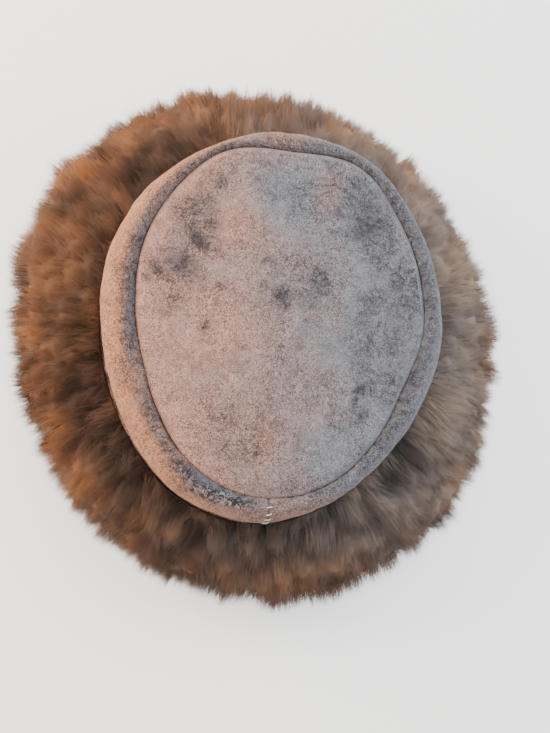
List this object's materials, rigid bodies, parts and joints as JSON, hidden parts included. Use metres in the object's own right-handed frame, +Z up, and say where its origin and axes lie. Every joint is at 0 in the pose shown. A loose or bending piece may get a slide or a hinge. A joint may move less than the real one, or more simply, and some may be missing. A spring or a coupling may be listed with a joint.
{
  "type": "pillbox hat with fleece cuff",
  "caption": "Sheepskin pillbox hat with an oval suede crown, a rolled side band and a deep turned-up cuff of long fleece.",
  "frame": {"origin": "on the surface that the hat stands on, under the middle of the fleece", "axes": "+Z up out of the crown, +Y to the wearer's forehead, -Y to the back seam, +X to the wearer's right"},
  "size_m": [0.3186, 0.3274, 0.1075],
  "materials": {
    "suede_tip": "short-napped grey-mauve suede, mottled and stained darker",
    "suede_band": "short-napped grey-mauve suede, finely wrinkled along the seam",
    "fleece": "long brown sheep's wool in soft locks, darker at the roots"
  },
  "bodies": {
    "root": {"crown_tip": "suede_tip", "side_band": "suede_band", "fleece_cuff": "fleece"}
  },
  "joints": []
}
